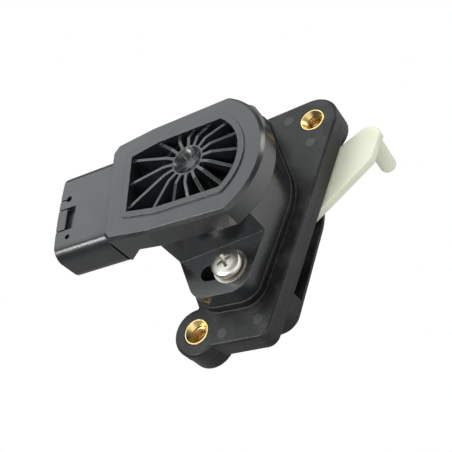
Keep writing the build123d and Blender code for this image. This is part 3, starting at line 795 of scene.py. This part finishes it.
class NodeTool:
    """A geometry node group with named inputs that is run once on an object."""

    label: str
    inputs: dict[str, tuple[str, object]]

    def __init__(self) -> None:
        """Build the group."""
        self.tree = bpy.data.node_groups.new(self.label, "GeometryNodeTree")
        self.sockets = {}
        self.tree.interface.new_socket("Geometry", in_out="INPUT", socket_type="NodeSocketGeometry")
        for name, (kind, value) in self.inputs.items():
            socket = self.tree.interface.new_socket(name, in_out="INPUT", socket_type=kind)
            socket.default_value = value
            self.sockets[name] = socket.identifier
        material = self.tree.interface.new_socket("Material", in_out="INPUT", socket_type="NodeSocketMaterial")
        self.sockets["Material"] = material.identifier
        self.tree.interface.new_socket("Geometry", in_out="OUTPUT", socket_type="NodeSocketGeometry")
        graph = Graph(self.tree)
        start = graph.add("NodeGroupInput")
        shape = self.shape(graph, start)
        solid = graph.add("GeometryNodeRealizeInstances", {"Geometry": shape}).outputs[0]
        settings = {"Geometry": solid, "Material": start.outputs["Material"]}
        dressed = graph.add("GeometryNodeSetMaterial", settings)
        graph.add("NodeGroupOutput", {"Geometry": dressed.outputs[0]})

    def shape(self, graph: Graph, start: bpy.types.Node) -> bpy.types.NodeSocket:
        """Return the geometry that the group makes.

        Args:
            graph: the group's graph.
            start: its input node.

        Returns:
            The geometry's socket.
        """
        raise NotImplementedError

    def run(self, obj: bpy.types.Object, material: bpy.types.Material, **values: object) -> bpy.types.Object:
        """Run the group on an object and keep the result as its mesh.

        Args:
            obj: the object, whose mesh the group may read.
            material: what the result is made of.
            values: input name to its value.

        Returns:
            The same object.
        """
        modifier = obj.modifiers.new(self.label, "NODES")
        modifier.node_group = self.tree
        modifier[self.sockets["Material"]] = material
        for name, value in values.items():
            modifier[self.sockets[name]] = value
        return smooth(freeze(obj))


class ThreadRidge(NodeTool):
    """One helical ridge of a screw thread, as a closed bar."""

    label = "thread_ridge"
    inputs = {
        "Radius": ("NodeSocketFloat", 2.0 * MM),
        "Pitch": ("NodeSocketFloat", 0.8 * MM),
        "Turns": ("NodeSocketFloat", 8.0),
        "Ridge": ("NodeSocketFloat", 0.3 * MM),
        "Foot": ("NodeSocketVector", (0.0, 0.0, 0.0)),
    }
    steps_per_turn = 80
    corners = 4

    def shape(self, graph: Graph, start: bpy.types.Node) -> bpy.types.NodeSocket:
        """Sweep a small lozenge along the helix."""
        value = start.outputs
        height = graph.math("MULTIPLY", value["Pitch"], value["Turns"])
        spiral = graph.add("GeometryNodeCurveSpiral", {
            "Resolution": self.steps_per_turn,
            "Rotations": value["Turns"],
            "Start Radius": value["Radius"],
            "End Radius": value["Radius"],
            "Height": height,
            "Reverse": True,
        })
        settings = {"Resolution": self.corners, "Radius": value["Ridge"]}
        lozenge = graph.add("GeometryNodeCurvePrimitiveCircle", settings)
        bar = graph.add("GeometryNodeCurveToMesh", {
            "Curve": spiral.outputs[0],
            "Profile Curve": lozenge.outputs[0],
            "Fill Caps": True,
        })
        settings = {"Geometry": bar.outputs[0], "Translation": value["Foot"]}
        return graph.add("GeometryNodeTransform", settings).outputs[0]


class EjectorMarks(NodeTool):
    """Low round marks that a mould's ejector pins leave, one at each point of the mesh."""

    label = "ejector_marks"
    inputs = {
        "Radius": ("NodeSocketFloat", 1.7 * MM),
        "Rise": ("NodeSocketFloat", 0.08 * MM),
        "Spread": ("NodeSocketFloat", 0.06),
        "Seed": ("NodeSocketInt", 7),
    }
    corners = 48

    def shape(self, graph: Graph, start: bpy.types.Node) -> bpy.types.NodeSocket:
        """Put a low disc, each of a slightly different size, on every point."""
        value = start.outputs
        disc = graph.add("GeometryNodeMeshCylinder", {
            "Vertices": self.corners,
            "Radius": value["Radius"],
            "Depth": value["Rise"],
        })
        least = graph.math("SUBTRACT", 1.0, value["Spread"])
        most = graph.math("ADD", 1.0, value["Spread"])
        size = graph.add("FunctionNodeRandomValue", {"Seed": value["Seed"]}, data_type="FLOAT")
        graph.tree.links.new(least, size.inputs[2])
        graph.tree.links.new(most, size.inputs[3])
        discs = graph.add("GeometryNodeInstanceOnPoints", {
            "Points": value["Geometry"],
            "Instance": disc.outputs["Mesh"],
        })
        wide = graph.add("ShaderNodeCombineXYZ", {"X": size.outputs[1], "Y": size.outputs[1], "Z": 1.0})
        graph.tree.links.new(wide.outputs[0], discs.inputs["Scale"])
        return discs.outputs[0]


@dataclass(frozen=True)
class ThreadedSleeve:
    """How a brass threaded sleeve is turned: mouth, bore, thread and grip."""

    mouth: float = 3.2 * MM
    rim: float = 1.3 * MM
    root: float = 2.34 * MM
    crest: float = 2.1 * MM
    pitch: float = 0.8 * MM
    ridge: float = 0.24 * MM
    groove: float = 0.35 * MM
    groove_width: float = 0.9 * MM
    groove_shares: tuple[float, ...] = (0.35, 0.7)
    corner: float = 0.12 * MM

    def profile(self, box: Extent) -> list[Span]:
        """Return the closed profile that fills the CAD sleeve's box."""
        outer, top, low = box.radius, box.high.z, box.low.z
        rows = [(self.mouth, top - self.corner), (self.mouth + self.corner, top)]
        rows += [(outer - self.corner, top), (outer, top - self.corner)]
        for share in self.groove_shares:
            level = low + (top - low) * (1.0 - share)
            rows += [(outer, level), (outer - self.groove, level)]
            rows += [(outer - self.groove, level - self.groove_width), (outer, level - self.groove_width)]
        rows += [(outer, low + self.corner), (outer - self.corner, low)]
        rows += [(self.root + self.corner, low), (self.root, low + self.corner)]
        step = self.root - self.crest
        rows += [(self.root, top - self.rim - step), (self.crest, top - self.rim)]
        return rows

    def build(self, node: str, ridges: ThreadRidge, material: bpy.types.Material) -> bpy.types.Object:
        """Turn the sleeve that stands for a CAD node.

        Args:
            node: the node's name.
            ridges: the tool that winds the thread.
            material: the sleeve's material.

        Returns:
            The sleeve with its thread.
        """
        box = Extent.of(node)
        sleeve = turned(f"{node}_turned", self.profile(box), box.axis)
        low = box.low.z + self.ridge
        turns = (box.high.z - self.rim - 2 * self.ridge - low) / self.pitch
        thread = ridges.run(
            empty_mesh(f"{node}_thread"), material,
            Radius=self.root, Pitch=self.pitch, Turns=turns, Ridge=self.ridge, Foot=(*box.axis, low),
        )
        return joined(sleeve, thread)


@dataclass
class Flange:
    """The two layers of the flange with their brass inserts."""

    shop: Workshop
    insert: ThreadedSleeve = ThreadedSleeve()
    marks_mm: tuple[Span, ...] = ((16.2, 27.24), (23.16, 16.88), (-2.28, -38.07), (8.31, -35.89))

    def build(self) -> None:
        """Dress the layers and sleeves, turn the mounting inserts and add the mould's marks."""
        palette = self.shop.palette
        for node in ("front_housing", "rear_cover"):
            self.shop.keep(node, palette.housing)
        for node in ("insert_lower", "insert_upper"):
            finish = self.shop.on_axis(palette.brass, node)
            sleeve = self.insert.build(node, self.shop.ridges, finish.material(self.shop.effects))
            self.shop.hand_over(sleeve, finish, Body.HOUSING, Slot.BRASS, node)
        for node in ("screw_insert_lower", "screw_insert_upper"):
            self.shop.keep(node, self.shop.on_axis(palette.brass, node))
        self.shop.keep("bush", palette.bronze)
        self._ejector_marks()

    def _ejector_marks(self) -> None:
        """Put the mould's round marks on the flange's face."""
        finish = self.shop.palette.mark
        marks = empty_mesh("ejector_marks")
        marks.data.from_pydata([(x * MM, y * MM, 0.0) for x, y in self.marks_mm], [], [])
        EjectorMarks().run(marks, finish.material(self.shop.effects))
        self.shop.hand_over(marks, finish, Body.HOUSING, Slot.BLACK_PLASTIC)


@dataclass(frozen=True)
class PlasticSlab:
    """A small slab of the body's plastic with rounded edges, turned about the shaft: the chamber web, and the
    dark sheet of painted shade across the latch window.
    """

    name: str
    x_span: Span
    y_span: Span
    z_span: Span
    turn: float
    rounding: float
    rounding_steps: int = 3

    def build(self) -> bpy.types.Object:
        """Return the web as a closed solid."""
        slab = empty_mesh(self.name)
        spin = Matrix.Rotation(math.radians(self.turn), 3, "Z")
        rounding = {"offset": self.rounding, "segments": self.rounding_steps, "profile": 0.5}
        with shaping(slab) as form:
            bmesh.ops.create_cube(form, size=1.0)
            for vert in form.verts:
                spans = zip(vert.co, (self.x_span, self.y_span, self.z_span))
                vert.co = spin @ Vector(low if share < 0.0 else high for share, (low, high) in spans)
            bmesh.ops.bevel(form, geom=form.edges[:], affect="EDGES", **rounding)
        return smooth(slab)


# Painted shade: a thin dark sheet across the connector's latch window stands in for the shaded inside of the
# shell seen through it.
LATCH_SHADE_SHEET = PlasticSlab(
    "latch_shade_sheet",
    x_span=(-43.85 * MM, -40.65 * MM),
    y_span=(-6.25 * MM, 1.75 * MM),
    z_span=(20.95 * MM, 21.25 * MM),
    turn=HEAD_TURN,
    rounding=0.05 * MM,
)
CHAMBER_WEB = PlasticSlab(
    "chamber_web",
    x_span=(-13.6 * MM, -11.5 * MM),
    y_span=(-7.2 * MM, 7.2 * MM),
    z_span=(11.8 * MM, 15.9 * MM),
    turn=0.0,
    rounding=0.5 * MM,
)


@dataclass
class Potentiometer:
    """The clamped potentiometer: body, head cover, seals and measuring parts."""

    shop: Workshop
    slabs: tuple[PlasticSlab, ...] = (LATCH_SHADE_SHEET, CHAMBER_WEB)

    def build(self) -> None:
        """Dress the moulded pieces and what is inside, and add the chamber web and the dark sheet of painted
        shade across the latch window.
        """
        palette = self.shop.palette
        kept = {
            palette.pot: ("pot_body", "pot_cover"),
            palette.rubber: ("face_seal", "shaft_seal"),
            palette.board: ("track_board",),
            palette.inner: ("rotor",),
            palette.contact: ("wiper_contacts", "terminal_1", "terminal_2", "terminal_3"),
        }
        for finish, nodes in kept.items():
            for node in nodes:
                self.shop.keep(node, finish)
        for slab in self.slabs:
            self.shop.hand_over(slab.build(), palette.pot, Body.HOUSING, Slot.GREY_PLASTIC)


@dataclass(frozen=True)
class PanScrew:
    """A pan-head screw with a cross recess, inside the CAD screw's box."""

    edge: float = 1.3 * MM
    crown: float = 1.1 * MM
    crown_power: float = 0.8
    crown_rows: int = 7
    seat_corner: float = 0.15 * MM
    core: float = 1.62 * MM
    tip: float = 0.5 * MM
    pitch: float = 0.7 * MM
    ridge: float = 0.3 * MM
    thread_start: float = 0.6 * MM
    thread_gap: float = 1.0 * MM
    arm: float = 2.25 * MM
    arm_half: float = 0.5 * MM
    recess: float = 1.7 * MM
    recess_over: float = 0.3 * MM
    mouth_scale: float = 1.1
    floor_scale: float = 0.4
    turn: float = 25.0

    def profile(self, box: Extent) -> list[Span]:
        """Return the screw's profile from its crown down to its tip."""
        radius, top, low = box.radius, box.high.z, box.low.z
        brow = top - self.crown
        rows = [(0.0, top)]
        for index in range(1, self.crown_rows):
            angle = math.pi / 2 * index / self.crown_rows
            rows.append((radius * math.sin(angle), brow + self.crown * math.cos(angle) ** self.crown_power))
        seat = brow - self.edge
        rows += [(radius, brow), (radius, seat + self.seat_corner), (radius - self.seat_corner, seat)]
        rows += [(self.core, seat), (self.core, low + self.tip), (self.core - self.tip, low), (0.0, low)]
        return rows

    def recess_tool(self, box: Extent) -> bpy.types.Object:
        """Return the tapered cross that the recess is cut with."""
        obj = empty_mesh("cross")
        half, arm = self.arm_half, self.arm
        plus = [(half, half), (half, arm), (-half, arm), (-half, half), (-arm, half), (-arm, -half)]
        plus += [(-x, -y) for x, y in plus]
        spin = Matrix.Rotation(math.radians(self.turn), 3, "Z")
        over, floor = box.high.z + self.recess_over, box.high.z - self.recess
        with shaping(obj) as form:
            rings = []
            for height, scale in ((over, self.mouth_scale), (floor, self.floor_scale)):
                points = [spin @ Vector((x * scale, y * scale, 0.0)) for x, y in plus]
                rings.append([form.verts.new((box.axis[0] + p.x, box.axis[1] + p.y, height)) for p in points])
            form.faces.new(rings[0])
            form.faces.new(rings[1])
            for index in range(len(plus)):
                after = (index + 1) % len(plus)
                form.faces.new((rings[0][index], rings[0][after], rings[1][after], rings[1][index]))
            bmesh.ops.recalc_face_normals(form, faces=form.faces)
        return obj

    def build(self, node: str, ridges: ThreadRidge, material: bpy.types.Material) -> bpy.types.Object:
        """Make the screw that stands for a CAD node.

        Args:
            node: the node's name.
            ridges: the tool that winds the thread.
            material: the screw's material.

        Returns:
            The screw with its recess and its thread.
        """
        box = Extent.of(node)
        screw = cut(turned(f"{node}_turned", self.profile(box), box.axis), self.recess_tool(box))
        low = box.low.z + self.thread_start
        seat = box.high.z - self.crown - self.edge
        turns = float(math.floor((seat - self.thread_gap - low) / self.pitch))
        thread = ridges.run(
            empty_mesh(f"{node}_thread"), material,
            Radius=self.core, Pitch=self.pitch, Turns=turns, Ridge=self.ridge, Foot=(*box.axis, low),
        )
        return joined(screw, thread)


@dataclass
class Clamps:
    """The clamp screws with their washers."""

    shop: Workshop
    screw: PanScrew = PanScrew()

    def build(self) -> None:
        """Make the screws and dress the washers."""
        for word in ("lower", "upper"):
            finish = self.shop.on_axis(self.shop.palette.plated, f"flat_washer_{word}")
            node = f"clamp_screw_{word}"
            screw = self.screw.build(node, self.shop.ridges, finish.material(self.shop.effects))
            self.shop.hand_over(screw, finish, Body.HOUSING, Slot.PLATED_STEEL, node)
            for kind, coat in (("flat_washer", finish), ("spring_washer", self.shop.palette.blackened)):
                self.shop.keep(f"{kind}_{word}", coat)


@dataclass
class Drive:
    """The lever with its shaft, clip and spring."""

    shop: Workshop
    spring_leg: float = 2.0 * MM
    merge: float = 0.001 * MM

    def build(self) -> None:
        """Dress the lever and its neighbours on the shaft, and put a smoothed copy in place of the spring."""
        palette = self.shop.palette
        self.shop.keep("lever", palette.lever)
        for node in ("shaft", "retaining_clip", "thrust_washer"):
            self.shop.keep(node, palette.steel)
        self._spring()

    def _spring(self) -> None:
        """Put a smoothed copy of the spring, with its doubled points merged, in place of the CAD spring."""
        node = "return_spring"
        box = Extent.of(node)
        spring = empty_mesh(f"{node}_wound")
        with shaping(spring) as form:
            form.from_mesh(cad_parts[node].data)
            bmesh.ops.remove_doubles(form, verts=form.verts, dist=self.merge)
        self.shop.dress(smooth(spring), self.shop.palette.steel)
        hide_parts(node)
        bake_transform(spring)
        LOG.info("%s: %d faces between the two bodies", spring.name, len(spring.data.polygons))


@dataclass(frozen=True)
class Lamp:
    """One soft box."""

    name: str
    place: Point
    size: Span
    power: float
    colour: Colour = (1.0, 1.0, 1.0)

    def build(self) -> None:
        """Make the lamp and point it at the model's origin."""
        data = bpy.data.lights.new(self.name, "AREA")
        data.shape = "RECTANGLE"
        data.size, data.size_y = self.size
        data.energy = self.power
        data.color = self.colour
        lamp = link(bpy.data.objects.new(self.name, data))
        lamp.location = Vector(self.place)
        lamp.rotation_mode = "QUATERNION"
        lamp.rotation_quaternion = (-Vector(self.place)).to_track_quat("-Z", "Y")


LAMPS = (
    Lamp("overhead", (-0.36, 0.43, 0.57), (0.8, 0.8), 3.8, (0.96, 1.0, 1.0)),
    Lamp("left_strip", (-0.31, -0.33, 0.56), (0.5, 0.12), 3.2),
    Lamp("back_window", (0.52, 0.44, 0.32), (0.26, 0.26), 1.3),
    Lamp("front_fill", (0.36, -0.47, 0.55), (0.8, 0.8), 2.1),
)


@dataclass
class Studio:
    """The white floor and surround, the lamps and the camera."""

    lamps: tuple[Lamp, ...] = LAMPS
    camera_place: Point = (98.475 * MM, -126.69 * MM, 160.493 * MM)
    camera_right: Point = (0.86265, 0.05849, -0.50241)
    camera_up: Point = (0.23049, 0.8387, 0.4934)
    camera_lens: float = 63.015
    camera_sensor: float = 36.0
    camera_clip: Span = (0.01, 20.0)
    floor_gap: float = 30.0 * MM
    floor_size: float = 3.0
    ambient: float = 0.6
    sky_shine: float = 0.2
    floor_shine: float = 0.42
    window_shine: float = 1.9
    window_edge: Span = (0.05, 0.11)

    def build(self) -> None:
        """Make everything round the object."""
        self._world()
        self._floor()
        for lamp in self.lamps:
            lamp.build()
        self._camera()

    @staticmethod
    def _strength(graph: Graph, soft: float, shine: object) -> bpy.types.NodeSocket:
        """Return white for rays that look straight, less for reflections and less for soft light.

        Args:
            graph: the graph that needs the value.
            soft: the strength that lights the object.
            shine: the strength that its reflections show, a number or a socket.

        Returns:
            The strength's socket.
        """
        path = graph.add("ShaderNodeLightPath")
        straight = graph.math("MAXIMUM", path.outputs["Is Camera Ray"], path.outputs["Is Transmission Ray"])
        lit = graph.remap(path.outputs["Is Glossy Ray"], WHOLE, soft, shine)
        white = graph.math("MULTIPLY", straight, 1.0 - soft)
        return graph.math("ADD", lit, white)

    def _world(self) -> None:
        """Light the object evenly and show white behind it."""
        world = bpy.data.worlds.new("surround")
        bpy.context.scene.world = world
        world.use_nodes = True
        graph = Graph(world.node_tree)
        strength = self._strength(graph, self.ambient, self.sky_shine)
        shade = graph.add("ShaderNodeBackground", {"Color": WHITE, "Strength": strength})
        output = graph.add("ShaderNodeOutputWorld")
        world.node_tree.links.new(shade.outputs[0], output.inputs["Surface"])

    def _floor(self) -> None:
        """Lay a white floor that is clear from below."""
        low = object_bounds()[0].z - self.floor_gap
        half = self.floor_size / 2
        mesh = bpy.data.meshes.new("floor")
        points = [(-half, -half, low), (half, -half, low), (half, half, low), (-half, half, low)]
        mesh.from_pydata(points, [], [(0, 1, 2, 3)])
        floor = link(bpy.data.objects.new("floor", mesh))
        made = bpy.data.materials.new("floor_paper")
        made.use_nodes = True
        graph = Graph(made.node_tree)
        right = graph.part(graph.place(), "X")
        shine = graph.remap(right, self.window_edge, self.floor_shine, self.window_shine)
        strength = self._strength(graph, self.ambient, shine)
        seen = graph.add("ShaderNodeEmission", {"Color": WHITE, "Strength": strength})
        clear = graph.add("ShaderNodeBsdfTransparent")
        behind = graph.add("ShaderNodeNewGeometry").outputs["Backfacing"]
        both = graph.add("ShaderNodeMixShader", {0: behind, 1: seen.outputs[0], 2: clear.outputs[0]})
        output = graph.add("ShaderNodeOutputMaterial")
        made.node_tree.links.new(both.outputs[0], output.inputs["Surface"])
        mesh.materials.append(made)
        floor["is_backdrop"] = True

    def _camera(self) -> None:
        """Set the camera where the photograph was taken from."""
        data = bpy.data.cameras.new("camera")
        data.lens = self.camera_lens
        data.sensor_width = self.camera_sensor
        data.clip_start, data.clip_end = self.camera_clip
        camera = link(bpy.data.objects.new("camera", data))
        right = Vector(self.camera_right).normalized()
        up = Vector(self.camera_up)
        back = right.cross(up).normalized()
        up = back.cross(right)
        turn = Matrix((right, up, back)).transposed().to_4x4()
        camera.matrix_world = Matrix.Translation(Vector(self.camera_place)) @ turn
        bpy.context.scene.camera = camera


def corners(box: tuple[Vector, Vector]) -> list[list[float]]:
    """Return a box's corners as plain lists of numbers."""
    return [list(corner) for corner in box]


def main() -> None:
    """Build the object's looks and the studio round it."""
    logging.basicConfig(level=logging.INFO, format="%(message)s")
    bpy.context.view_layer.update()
    scene = bpy.context.scene
    scene.view_settings.view_transform = "Standard"
    shop = Workshop()
    for part in (Flange(shop), Potentiometer(shop), Clamps(shop), Drive(shop)):
        part.build()
        LOG.info("%s done", type(part).__name__)
    Studio().build()


if __name__ == "__main__":
    main()
